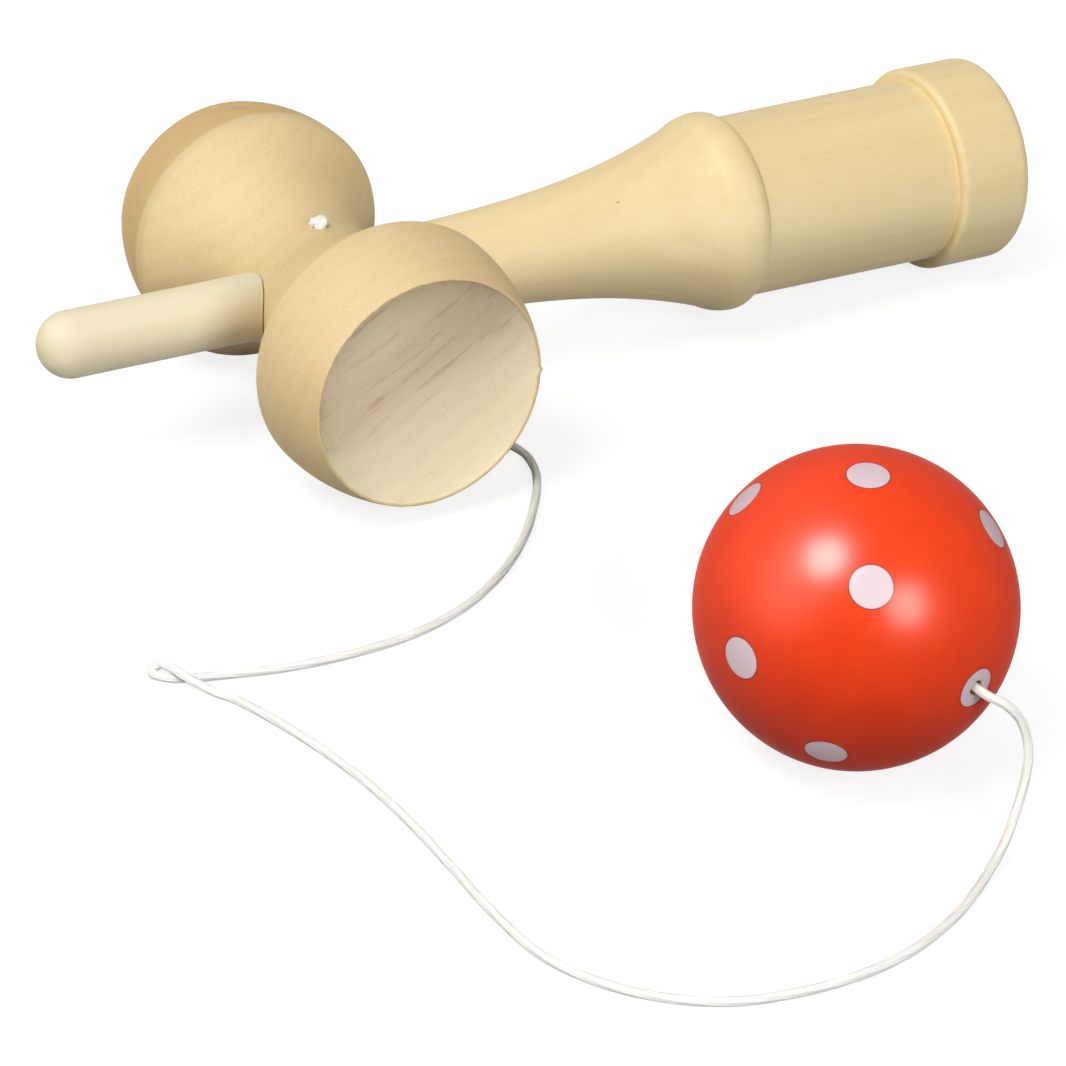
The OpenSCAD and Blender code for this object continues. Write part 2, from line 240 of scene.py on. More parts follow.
def turn_on_lathe(outline, steps):
    """A closed turned solid: an outline of (radius, height) points spun about the vertical axis."""
    shape = bmesh.new()
    points = [shape.verts.new((r, 0, z)) for r, z in outline]
    edges = [shape.edges.new(pair) for pair in zip(points, points[1:])]
    if outline[0][0] > 0 or outline[-1][0] > 0:
        edges.append(shape.edges.new((points[-1], points[0])))
    bmesh.ops.spin(shape, geom=points + edges, cent=(0, 0, 0), axis=(0, 0, 1), angle=2 * pi,
                   steps=steps, use_merge=True)
    bmesh.ops.remove_doubles(shape, verts=shape.verts, dist=0.001 * MM)
    bmesh.ops.recalc_face_normals(shape, faces=shape.faces)
    return shape


def new_object(name, data):
    """A new object, in the scene."""
    made = bpy.data.objects.new(name, data)
    bpy.context.scene.collection.objects.link(made)
    return made


def shade_smooth(mesh, sharp_degrees=180):
    """Shades a mesh smooth, apart from edges that are sharper than an angle."""
    for face in mesh.polygons:
        face.use_smooth = True
    if sharp_degrees < 180:
        mesh.set_sharp_from_angle(angle=radians(sharp_degrees))


def finish_mesh(name, shape, place, sharp_degrees=32):
    """Puts a bmesh in its place as a smooth-shaded object that keeps its real edges."""
    shape.transform(place)
    mesh = bpy.data.meshes.new(name)
    shape.to_mesh(mesh)
    shape.free()
    shade_smooth(mesh, sharp_degrees)
    return new_object(name, mesh)


def cut_with(piece, cutter, sharp_degrees=32):
    """Takes the cutter out of the piece and removes the cutter."""
    cut = piece.modifiers.new("Bore", "BOOLEAN")
    cut.operation = "DIFFERENCE"
    cut.solver = "EXACT"
    cut.object = cutter
    bpy.context.view_layer.update()
    seen = piece.evaluated_get(bpy.context.evaluated_depsgraph_get())
    mesh = bpy.data.meshes.new_from_object(seen)
    whole = piece.data
    piece.modifiers.clear()
    piece.data = mesh
    bpy.data.meshes.remove(whole)
    mesh.name = piece.name
    bpy.data.meshes.remove(cutter.data)
    shade_smooth(mesh, sharp_degrees)


def join_into(piece, other):
    """Adds the mesh of another object to a piece and removes that object."""
    both = bmesh.new()
    both.from_mesh(piece.data)
    both.from_mesh(other.data)
    both.to_mesh(piece.data)
    both.free()
    bpy.data.meshes.remove(other.data)


# How far a cutter reaches past the piece that it cuts
CUT_PAST = 2 * MM


def string_hole_r():
    return toy().string.d / 2 + toy().string.gap


def string_hole_cutter(name):
    """The string's hole through the crosspiece and the spike, with its countersink on top."""
    string, waist_r, hole_r = toy().string, toy().crosspiece.waist_r, string_hole_r()
    foot = waist_r - string.countersink_depth
    reach = string.countersink_depth + CUT_PAST
    outline = [(0, -waist_r - CUT_PAST), (hole_r, -waist_r - CUT_PAST), (hole_r, foot),
               (hole_r + reach, foot + reach), (0, foot + reach)]
    return finish_mesh(name, turn_on_lathe(outline, 48), toy_place())


# Materials

def add(tree, kind, inputs=None, **settings):
    """Adds a node with its settings, then sets or links its inputs by name or number."""
    node = tree.nodes.new(kind)
    for name, value in settings.items():
        setattr(node, name, value)
    for socket, value in (inputs or {}).items():
        if isinstance(value, bpy.types.NodeSocket):
            tree.links.new(value, node.inputs[socket])
        else:
            node.inputs[socket].default_value = value
    return node


def calc(tree, operation, *values, clamp=False):
    """A step of arithmetic on numbers."""
    return add(tree, "ShaderNodeMath", dict(enumerate(values)), operation=operation,
               use_clamp=clamp).outputs[0]


def calc_vector(tree, operation, *values):
    """A step of arithmetic on vectors; a dot product or a length gives a number."""
    node = add(tree, "ShaderNodeVectorMath", dict(enumerate(values)), operation=operation)
    return node.outputs["Value" if operation in ("DOT_PRODUCT", "LENGTH") else "Vector"]


def noise(tree, at, spacing, detail=2.0, roughness=0.6):
    """Noise with its lumps about so many millimetres apart."""
    return add(tree, "ShaderNodeTexNoise", {"Vector": at, "Scale": 1 / spacing, "Detail": detail,
                                            "Roughness": roughness}).outputs[0]


def ramp(tree, value, low, high, start, end, kind="SMOOTHSTEP"):
    """Goes from its start to its end while the value goes from low to high."""
    return add(tree, "ShaderNodeMapRange",
               {"Value": value, "From Min": low, "From Max": high, "To Min": start, "To Max": end},
               interpolation_type=kind).outputs[0]


def mix(tree, share, under, over, blend="MIX"):
    """A colour with another laid over it by a share."""
    return add(tree, "ShaderNodeMix", {0: share, 6: under, 7: over}, data_type="RGBA",
               blend_type=blend).outputs[2]


def rays_to_the_eye(tree):
    """One where a ray is seen, straight, in gloss or through glass, and nought where it only lights."""
    path = add(tree, "ShaderNodeLightPath").outputs
    seen = calc(tree, "MAXIMUM", path["Is Camera Ray"], path["Is Glossy Ray"])
    return calc(tree, "MAXIMUM", seen, path["Is Transmission Ray"])


def new_material(name):
    """An empty node material, and its tree."""
    material = bpy.data.materials.new(name)
    material.use_nodes = True
    material.node_tree.nodes.clear()
    return material, material.node_tree


def turned_wood(name, body, late, blank, fibre=1.0, speck=0.0, heart=None, painted_rim_shade=None, fleck_at=None,
                roughness=0.5, gloss=0.08):
    """Lime wood, turned and sanded, with a thin satin lacquer: an even cream ground with broad soft sheets
    of growth, faint fibres along the grain, and specks where the lathe cut across it."""
    material, tree = new_material(name)
    place = add(tree, "ShaderNodeTexCoord").outputs["Object"]
    # Millimetres in the blank that the piece was turned from: X across its growth sheets, Z along its grain
    inside = add(tree, "ShaderNodeMapping",
                 {"Vector": place, "Location": blank.translation, "Rotation": blank.to_euler(),
                  "Scale": (MM, MM, MM)}, vector_type="TEXTURE").outputs[0]
    # Growth bands about a pith 46 mm off the piece, 3.4 mm apart
    pith = calc_vector(tree, "ADD", inside, (45.0, 9.0, 0.0))
    long_pith = calc_vector(tree, "MULTIPLY", pith, (1.0, 1.0, 0.12))
    bands = add(tree, "ShaderNodeTexWave",
                {"Vector": long_pith, "Scale": 0.314 / 3.4, "Distortion": 4.0, "Detail": 2.0,
                 "Detail Scale": 0.5, "Detail Roughness": 0.55},
                wave_type="RINGS", rings_direction="Z", wave_profile="SIN").outputs["Fac"]
    # Sheets of growth 7 mm wide that run the length of the piece
    sheets = noise(tree, calc_vector(tree, "MULTIPLY", inside, (1.0, 0.5, 0.03)), 7.0, 1.0, 0.4)
    # Fibres 0.5 mm across and 9 mm long, with a finer set of 0.2 mm
    fibre_place = calc_vector(tree, "MULTIPLY", inside, (1.0, 1.0, 0.06))
    fibres = noise(tree, fibre_place, 1.1, 3.0, 0.62)
    fine = noise(tree, fibre_place, 0.42)
    # Cut pores, drawn at 0.5 mm because the real ones are too fine to show
    pores = noise(tree, inside, 0.5)
    # Slow change of tone over 25 mm
    tone = noise(tree, long_pith, 25.0, 2.0, 0.5)
    late_share = None
    for value, low, high, least, most in (
            (bands, 0.0, 1.0, 0.0, 0.08), (sheets, 0.42, 0.55, 0.0, 0.20 * fibre),
            (fibres, 0.30, 0.72, 0.0, 0.07 * fibre), (fine, 0.40, 0.72, 0.0, 0.10 * fibre),
            (pores, 0.45, 0.75, 0.0, 0.30 * speck), (tone, 0.3, 0.7, -0.06, 0.20)):
        share = ramp(tree, value, low, high, least, most)
        late_share = share if late_share is None else calc(tree, "ADD", late_share, share)
    skin = mix(tree, late_share, body, late)
    if heart:
        # Heart wood lies in the growth sheets about 20 mm to each side of the middle: a broad soft patch,
        # and thin broken lines as far as the pale sap wood
        streak_place = calc_vector(tree, "MULTIPLY", inside, (1.0, 0.12, 0.07))
        broad = noise(tree, streak_place, 4.5, 4.0)
        thin = noise(tree, streak_place, 1.3, 4.0, 0.65)
        across = add(tree, "ShaderNodeSeparateXYZ", {0: inside}).outputs["X"]
        wander = calc(tree, "MULTIPLY_ADD", broad, 16.0, calc(tree, "ABSOLUTE", across))
        from_heart = calc(tree, "SUBTRACT", wander, 30.0)
        patch = ramp(tree, calc(tree, "ABSOLUTE", from_heart), 0.0, 9.0, 0.24, 0.05)
        lines = ramp(tree, thin, 0.51, 0.71, 0.0, 0.34)
        heart_side = ramp(tree, from_heart, 1.0, 12.0, 1.0, 0.0)
        streak_share = calc(tree, "MULTIPLY", calc(tree, "ADD", patch, lines), heart_side, clamp=True)
        skin = mix(tree, streak_share, skin, heart)
    if painted_rim_shade:
        # Painted shade: past its widest ring the far cup is tinted darker and browner
        towards, start, tint = painted_rim_shade
        from_waist = calc_vector(tree, "SUBTRACT", place, blank.translation)
        out = calc_vector(tree, "DOT_PRODUCT", from_waist, towards)
        skin = mix(tree, ramp(tree, out, start, start + 1.8 * MM, 0.0, 1.0), skin, tint, "MULTIPLY")
    if fleck_at:
        # A pin knot 0.4 mm across and 0.9 mm long
        from_fleck = calc_vector(tree, "SUBTRACT", inside, blank.inverted() @ fleck_at / MM)
        round_fleck = calc_vector(tree, "MULTIPLY", from_fleck, (1 / 0.2, 1 / 0.2, 1 / 0.45))
        reach = calc_vector(tree, "LENGTH", round_fleck)
        skin = mix(tree, ramp(tree, reach, 0.6, 1.5, 0.65, 0.0), skin, toy().colours.heart)
    # Sanding leaves the fibres and the cut pores a little proud
    bump = add(tree, "ShaderNodeBump", {"Height": calc(tree, "ADD", fine, pores),
                                        "Strength": 0.08 + 0.10 * speck, "Distance": 0.12 * MM})
    rough = ramp(tree, fibres, 0.3, 0.7, roughness - 0.05, roughness + 0.07, "LINEAR")
    shader = add(tree, "ShaderNodeBsdfPrincipled",
                 {"Base Color": skin, "Roughness": rough, "IOR": 1.5, "Specular IOR Level": gloss,
                  "Normal": bump.outputs[0]})
    add(tree, "ShaderNodeOutputMaterial", {"Surface": shader.outputs[0]})
    return material


def blank_along(grain, across, at):
    """The frame of a blank: X across its growth sheets, Z along its grain."""
    side = grain.cross(across).normalized()
    return from_axes(side.cross(grain), side, grain, at)


# Directions of the painted spots from the middle of the ball, about 47 degrees from spot to spot
SPOTS = [(-0.562, 0.438, 0.702), (-0.024, -0.086, 0.996), (0.668, -0.427, 0.609),
         (-0.361, -0.683, 0.634), (-0.969, -0.238, 0.061), (-0.586, -0.635, -0.503),
         (0.473, -0.522, -0.71), (-0.01, 0.02, -1.0), (-0.602, 0.419, -0.68), (0.113, 0.812, 0.572),
         (0.913, 0.256, 0.317), (0.63, 0.744, -0.224), tuple(HOLE_OUT)]
# Half the width over which the paint of a spot ends
SPOT_EDGE = 0.10 * MM
# Direction from the middle of the ball to the side whose red is painted deeper, as painted shade
PAINTED_SHADE_SIDE = (-0.40, -0.365, -0.841)


def spotted_lacquer(name):
    """Red nitro lacquer over sealed wood, with spots stamped on in thick pale paint: deep colour, painted
    deeper towards the ball's lower side as painted shade, a soft round gloss with a faint ripple, and a
    thin darker line of lacquer round each spot."""
    size, colours = toy().ball, toy().colours
    spot_angle, edge = size.spot_r / size.r, SPOT_EDGE / size.r
    material, tree = new_material(name)
    place = add(tree, "ShaderNodeTexCoord").outputs["Object"]
    from_middle = calc_vector(tree, "SUBTRACT", place, BALL_AT)
    out = calc_vector(tree, "NORMALIZE", from_middle)
    nearest = None
    for spot_at in SPOTS:
        near = calc_vector(tree, "DOT_PRODUCT", out, Vector(spot_at).normalized())
        nearest = near if nearest is None else calc(tree, "MAXIMUM", nearest, near)
    angle = calc(tree, "ARCCOSINE", nearest)
    inside = ramp(tree, angle, spot_angle - edge, spot_angle + edge, 1.0, 0.0)
    rim = ramp(tree, angle, spot_angle + edge, spot_angle + 3 * edge, 0.75, 0.0)
    millimetres = calc_vector(tree, "MULTIPLY", from_middle, (1000.0, 1000.0, 1000.0))
    # Slow unevenness of the coat over 9 mm
    cloud_share = ramp(tree, noise(tree, millimetres, 9.0, 2.0, 0.5), 0.3, 0.7, 0.0, 0.14)
    # Painted shade: the red is painted deeper towards the ball's lower side
    toward_shade = calc_vector(tree, "DOT_PRODUCT", out, PAINTED_SHADE_SIDE)
    painted_shade_share = ramp(tree, toward_shade, 0.0, 0.85, 0.0, 0.58, "LINEAR")
    deep_and_shade_share = calc(tree, "ADD", cloud_share, painted_shade_share, clamp=True)
    clouded_and_shaded = mix(tree, deep_and_shade_share, colours.lacquer, colours.lacquer_deep_and_shade)
    outlined = mix(tree, rim, clouded_and_shaded, colours.outline)
    painted = mix(tree, inside, outlined, colours.spot)
    # Ripple of the sprayed coat, 1.6 mm, with the spot standing proud of it
    ripple = calc(tree, "MULTIPLY", noise(tree, millimetres, 1.6, 3.0), 0.45)
    bump = add(tree, "ShaderNodeBump", {"Height": calc(tree, "ADD", ripple, inside), "Strength": 0.35,
                                        "Distance": 0.05 * MM})
    # The gloss is dulled where it is seen aslant, so that no pale haze lies on the edge of the ball
    facing = add(tree, "ShaderNodeLayerWeight", {"Blend": 0.5}).outputs["Facing"]
    slant_rough = calc(tree, "ADD", calc(tree, "POWER", facing, 1.6), 0.28)
    rough = calc(tree, "MULTIPLY_ADD", inside, 0.15, slant_rough, clamp=True)
    shader = add(tree, "ShaderNodeBsdfPrincipled",
                 {"Base Color": painted, "Roughness": rough, "IOR": 1.5, "Specular IOR Level": 0.15,
                  "Coat Weight": 1.0, "Coat Roughness": 0.4, "Coat IOR": 1.05, "Coat Tint": colours.coat,
                  "Normal": bump.outputs[0]})
    add(tree, "ShaderNodeOutputMaterial", {"Surface": shader.outputs[0]})
    return material


def twisted_cotton(name, body, shade):
    """Bleached cotton yarn, loosely twisted: matt, soft white, with fine fibres along each strand."""
    material, tree = new_material(name)
    place = add(tree, "ShaderNodeTexCoord").outputs["Object"]
    millimetres = calc_vector(tree, "MULTIPLY", place, (1000.0, 1000.0, 1000.0))
    # Single fibres are too fine to show, so the fuzz is drawn at 0.25 mm
    fuzz = noise(tree, millimetres, 0.25)
    slub = noise(tree, millimetres, 6.0, 2.0, 0.5)
    share = ramp(tree, calc(tree, "MULTIPLY", fuzz, slub), 0.15, 0.40, 0.0, 0.5)
    bump = add(tree, "ShaderNodeBump", {"Height": fuzz, "Strength": 0.3, "Distance": 0.06 * MM})
    shader = add(tree, "ShaderNodeBsdfPrincipled",
                 {"Base Color": mix(tree, share, body, shade), "Roughness": 0.9, "IOR": 1.5,
                  "Specular IOR Level": 0.2, "Sheen Weight": 0.25, "Sheen Roughness": 0.5,
                  "Normal": bump.outputs[0]})
    add(tree, "ShaderNodeOutputMaterial", {"Surface": shader.outputs[0]})
    return material


def white_table(name, bounce, glow):
    """White photographer's sweep: diffuse, and lifted to white for the eye and for gloss, so that only the
    soft shadow of the object shows on it."""
    material, tree = new_material(name)
    lift = calc(tree, "MULTIPLY", rays_to_the_eye(tree), glow)
    matt = add(tree, "ShaderNodeBsdfDiffuse", {"Color": (bounce, bounce, bounce, 1.0)}).outputs[0]
    light = add(tree, "ShaderNodeEmission", {"Strength": lift}).outputs[0]
    both = add(tree, "ShaderNodeAddShader", {0: matt, 1: light}).outputs[0]
    add(tree, "ShaderNodeOutputMaterial", {"Surface": both})
    return material


# String and knots

# How far the string runs straight under the crosspiece and out of the ball, and lies clear of the table
STRING_BELOW = 1.1 * MM
STRING_LEAD = 2.5 * MM
STRING_REST = 0.05 * MM
# Where two points keep it straight inside the crosspiece, over and under the middle
STRING_INSIDE = 4 * MM
# Strands in the string, their radius as a share of its own, and the spacing of its points
STRANDS = 6
STRAND_SHARE = 0.58
STRING_SPACING = 0.5 * MM
# Route of the free string from under the crosspiece, in millimetres, with the height under the string
ROUTE_OUT = [
    (0.4, -1, 4.6), (3.4, -3.5, 1), (8.4, -7.8, 0.1), (16.4, -16.8, 0), (21.6, -24.4, 0), (23.6, -29.6, 0),
    (23.5, -34.2, 0), (21.4, -40.2, 0), (16.2, -48.4, 0), (9.2, -57.1, 0), (0.9, -64.6, 0),
    (-8.7, -70.4, 0), (-19.4, -73.7, 0), (-30.6, -74.3, 0), (-41.8, -73.1, 0), (-52.6, -70.1, 0),
    (-57.4, -68.4, 0), (-59.6, -67.3, 0)]
# The fold at the left: a loop with its headings in degrees, which rises over the string
LOOP_MIDDLE = (-60.7, -64.8)
LOOP_R = 0.95
LOOP_FROM = 140
LOOP_TO = -70
LOOP_STEPS = 6
LOOP_RISE = 1.1
# Way back from the loop to the ball
ROUTE_BACK = [
    (-59.3, -66.9, 1.65), (-58.6, -69.2, 1.65), (-57.6, -71.4, 1.3), (-55.4, -74.8, 0.5),
    (-52.5, -79, 0.05), (-48.3, -91.9, 0), (-45.4, -105.4, 0), (-44, -119, 0), (-43.7, -132.7, 0),
    (-43.6, -146.5, 0), (-41.8, -160, 0), (-35.1, -171.8, 0), (-24.4, -180.2, 0), (-11.2, -183.6, 0),
    (2.5, -183.2, 0), (15.6, -178.6, 0.1), (27.8, -170.8, 1), (34.5, -166.1, 5.3), (37.7, -163.6, 11.9),
    (37.3, -162, 17.3), (35.2, -160.7, 20.4)]


def cone_tip():
    """Place along the string hole where the cone at the end of the spike hole would come to a point."""
    ball = toy().ball
    return ball.spike_hole_past + ball.spike_hole_r / tan(ball.drill_half_angle)


def bead_at():
    """Place of the bead's middle along the string hole, where it sits against the cone in the ball."""
    string = toy().string
    return cone_tip() - (string.bead_r + string.bead_gap) / sin(toy().ball.drill_half_angle)


def string_route():
    """Points of the whole string: from its knot in the crosspiece to its knot behind the bead."""
    string, waist_r, ball_r = toy().string, toy().crosspiece.waist_r, toy().ball.r
    place = toy_place()
    heights = (waist_r - string.countersink_depth, STRING_INSIDE, -STRING_INSIDE, STRING_LEAD - waist_r,
               -waist_r - STRING_BELOW)
    loop = []
    for i in range(LOOP_STEPS + 1):
        heading = radians(LOOP_FROM + (LOOP_TO - LOOP_FROM) * i / LOOP_STEPS)
        loop.append((LOOP_MIDDLE[0] - LOOP_R * sin(heading), LOOP_MIDDLE[1] + LOOP_R * cos(heading),
                     LOOP_RISE * (i / LOOP_STEPS) ** 2))
    start = Vector((place.translation.x, place.translation.y, string.d / 2 + STRING_REST))
    laid = [start + Vector(p) * MM for p in ROUTE_OUT + loop + ROUTE_BACK]
    knot_at = bead_at() - string.bead_l / 2
    inside = [BALL_AT + HOLE_OUT * along
              for along in (ball_r + STRING_LEAD, ball_r, (ball_r + knot_at) / 2, knot_at)]
    return [place @ Vector((0, 0, z)) for z in heights] + laid + inside


def smooth_route(points, steps):
    """Catmull-Rom points through the route."""
    smooth = []
    for i in range(len(points) - 1):
        a, b = points[max(i - 1, 0)], points[i]
        c, d = points[i + 1], points[min(i + 2, len(points) - 1)]
        for k in range(steps):
            t = k / steps
            smooth.append(0.5 * (2 * b + (c - a) * t + (2 * a - 5 * b + 4 * c - d) * t ** 2
                                 + (3 * b - a - 3 * c + d) * t ** 3))
    return smooth + [points[-1]]


def even_points(points, spacing):
    """The same line with points at an even spacing."""
    total = sum((b - a).length for a, b in zip(points, points[1:]))
    count = round(total / spacing)
    even, done, i = [points[0]], 0.0, 0
    for k in range(1, count):
        goal = total * k / count
        while done + (points[i + 1] - points[i]).length < goal:
            done += (points[i + 1] - points[i]).length
            i += 1
        even.append(points[i].lerp(points[i + 1], (goal - done) / (points[i + 1] - points[i]).length))
    return even + [points[-1]], total


def strand_lines(path, offset, lay, count, spacing):
    """Lines of the strands that lie round a path, carried along it without extra twist."""
    headings = [(path[min(i + 1, len(path) - 1)] - path[max(i - 1, 0)]).normalized()
                for i in range(len(path))]
    side = headings[0].orthogonal().normalized()
    lines = [[] for _ in range(count)]
    for i, (point, heading) in enumerate(zip(path, headings)):
        side = (side - heading * side.dot(heading)).normalized()
        across = heading.cross(side)
        for k, strand in enumerate(lines):
            turn = 2 * pi * (k / count + i * spacing / lay)
            strand.append(point + offset * (cos(turn) * side + sin(turn) * across))
    return lines


def yarn_mesh(name, lines, r, sides=2):
    """Bevelled curves along the lines, made one mesh."""
    curve = bpy.data.curves.new(name + "_line", "CURVE")
    curve.dimensions = "3D"
    curve.bevel_depth = r
    curve.bevel_resolution = sides
    curve.use_fill_caps = True
    for points in lines:
        spline = curve.splines.new("POLY")
        spline.points.add(len(points) - 1)
        for spot, point in zip(spline.points, points):
            spot.co = (*point, 1)
    drawn = new_object(name + "_line", curve)
    bpy.context.view_layer.update()
    mesh = bpy.data.meshes.new_from_object(drawn.evaluated_get(bpy.context.evaluated_depsgraph_get()))
    bpy.data.objects.remove(drawn)
    bpy.data.curves.remove(curve)
    mesh.name = name
    shade_smooth(mesh)
    return new_object(name, mesh)


def knot_lines(place, middle, r, yarn_r):
    """A tight overhand knot: a trefoil of yarn squeezed into a lump, and its short cut end."""
    steps = 72
    lump = []
    for i in range(steps + 2):
        turn = 2 * pi * i / steps
        flat = Vector((sin(turn) + 2 * sin(2 * turn), 0.85 * (cos(turn) - 2 * cos(2 * turn)),
                       -1.3 * sin(3 * turn)))
        lump.append(place @ (Vector((0, 0, middle)) + flat * ((r - yarn_r) / 3)))
    end = [place @ Vector((-r * (0.2 + 0.14 * i), r * (0.1 + 0.05 * i), middle + yarn_r * (0.9 - 0.09 * i)))
           for i in range(5)]
    return [lump, end]


# Places of the knots' middles: over the waist, and behind the bead
WAIST_KNOT_RISE = 0.3 * MM
BEAD_KNOT_BACK = 0.95 * MM
# A knot's yarn is drawn tight, and bulges past the knot's own radius
KNOT_YARN_SHARE = 0.85
KNOT_BULGE = 0.2 * MM


class TOY_OT_knots(bpy.types.Operator):
    """Tie the knots at the two ends of the string"""
    bl_idname = "toy.knots"
    bl_label = "Knots"

    def execute(self, context):
        string = toy().string
        cotton = twisted_cotton("twisted_cotton", toy().colours.cotton, toy().colours.cotton_shade)
        yarn_r = KNOT_YARN_SHARE * string.d / 2
        over_waist = toy().crosspiece.waist_r + WAIST_KNOT_RISE
        behind_bead = bead_at() - string.bead_l / 2 - BEAD_KNOT_BACK
        places = (("tied_knot", toy_place(), over_waist, "crosspiece_knot", "handle"),
                  ("end_knot", along_ball(), behind_bead, "bead_knot", "string_end"))
        for name, place, middle, node, body in places:
            lines = knot_lines(place, middle, string.knot_r + KNOT_BULGE, yarn_r)
            knot = yarn_mesh(name, lines, yarn_r, sides=3)
            knot.data.materials.append(cotton)
            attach(knot, body)
            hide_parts(node)
        return {"FINISHED"}


class TOY_OT_bead(bpy.types.Operator):
    """Turn the bead that holds the string inside the ball"""
    bl_idname = "toy.bead"
    bl_label = "Bead"

    def execute(self, context):
        string, hole_r = toy().string, string_hole_r()
        at, half = bead_at(), string.bead_l / 2
        flat = acos(half / string.bead_r)
        outline = ([(hole_r, at - half)]
                   + arc((0, at), string.bead_r, flat - pi / 2, pi / 2 - flat, 24)
                   + line((hole_r, at + half), (hole_r, at - half), 6))
        bead = finish_mesh("stop_bead", turn_on_lathe(outline, 64), along_ball())
        bead.data.materials.append(turned_wood(
            "turned_beech_bead", toy().colours.bead, toy().colours.heart,
            blank_along(HOLE_OUT, TOY_UP, BALL_AT)))
        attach(bead, "string_end")
        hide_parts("bead")
        return {"FINISHED"}


class TOY_OT_string(bpy.types.Operator):
    """Lay the string from the crosspiece along the table and into the ball"""
    bl_idname = "toy.string"
    bl_label = "String"

    def execute(self, context):
        string = toy().string
        path, total = even_points(smooth_route(string_route(), 16), STRING_SPACING)
        strand_r = STRAND_SHARE * string.d / 2
        lines = strand_lines(path, string.d / 2 - strand_r, string.lay, STRANDS, STRING_SPACING)
        cord = yarn_mesh("cotton_string", lines, strand_r)
        cord.data.materials.append(bpy.data.materials["twisted_cotton"])
        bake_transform(cord)
        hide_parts("string", "string_in_ball")
        return {"FINISHED"}


# Turned pieces

# A pin knot on top of the grip: towards the base, towards the small cup, up
HANDLE_FLECK = (55.3 * MM, -6.9 * MM, 9.3 * MM)
GRIP_STEPS = 48
WAIST_STEPS = 26
# Deeper than this under its surface the ball is bare wood
LACQUER_DEPTH = 0.12 * MM


class TOY_OT_handle(bpy.types.Operator):
    """Turn the handle: tenon, grip, bulge, barrel, base ring and base cup"""
    bl_idname = "toy.handle"
    bl_label = "Handle"

    def execute(self, context):
        size, spike, colours = toy().handle, toy().spike, toy().colours
        hollow_r = toy().crosspiece.hollow_r
        crest_at = size.flare_end + size.crest_run
        crest_r = (size.tenon_r + size.grip_taper * (size.flare_end - size.tenon_end)
                   + size.flare_rise + size.crest_rise)
        crest_arc_r = (size.crest_run ** 2 + size.crest_rise ** 2) / (2 * size.crest_rise)
        crest_angle = asin(size.crest_run / crest_arc_r)
        back_angle = acos(1 - size.barrel_drop / size.crest_round)
        back_end = (crest_r - size.barrel_drop, crest_at + size.crest_round * sin(back_angle))
        barrel_foot_r = crest_r - size.barrel_drop + size.barrel_swell
        ring_r = barrel_foot_r + size.ring_step
        foot_r = ring_r - size.foot_round
        cup_r = foot_r - size.base_rim_w
        cup_depth = hollow_r - sqrt(hollow_r ** 2 - cup_r ** 2)
        socket_end = size.seat_at + spike.socket
        run = size.flare_end - size.tenon_end
        grip = []
        for i in range(GRIP_STEPS + 1):
            share = i / GRIP_STEPS
            grip.append((size.tenon_r + size.grip_taper * run * share
                         + size.flare_rise * share ** size.flare_power, size.tenon_end + run * share))
        outline = (line((spike.tenon_r, size.seat_at), (size.tenon_r, size.seat_at), 3)
                   + line((size.tenon_r, size.seat_at), grip[0], 6)
                   + grip
                   + arc((crest_r - crest_arc_r, crest_at), crest_arc_r, -crest_angle * 0.9, 0, 9)
                   + arc((crest_r - size.crest_round, crest_at), size.crest_round, back_angle / 16,
                         back_angle, 15)[:-1]
                   + line(back_end, (barrel_foot_r, size.ring_at), 24)
                   + line((barrel_foot_r, size.ring_at), (ring_r - size.ring_round, size.ring_at), 2)
                   + arc((ring_r - size.ring_round, size.ring_at + size.ring_round), size.ring_round,
                         -pi / 2, 0, 12)
                   + line((ring_r, size.ring_at + size.ring_round),
                          (ring_r, size.base_at - size.foot_round), 8)[1:]
                   + arc((foot_r, size.base_at - size.foot_round), size.foot_round, 0, pi / 2, 14)
                   + line((foot_r, size.base_at), (cup_r, size.base_at), 3)[1:]
                   + arc((0, size.base_at - cup_depth + hollow_r), hollow_r,
                         asin(cup_r / hollow_r) - pi / 2, -pi / 2, 20)
                   + line((0, socket_end), (spike.tenon_r, socket_end), 3)
                   + line((spike.tenon_r, socket_end), (spike.tenon_r, size.seat_at), 8))
        handle = finish_mesh("turned_handle", turn_on_lathe(outline, 180), along_handle(), 24)
        handle.data.materials.append(turned_wood(
            "satin_lime_handle", colours.lime, colours.lime_late,
            blank_along(TO_BASE, TOY_UP + TO_BIG_CUP, toy_place().translation),
            fleck_at=toy_place() @ Vector(HANDLE_FLECK)))
        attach(handle, "handle")
        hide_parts("handle")
        return {"FINISHED"}


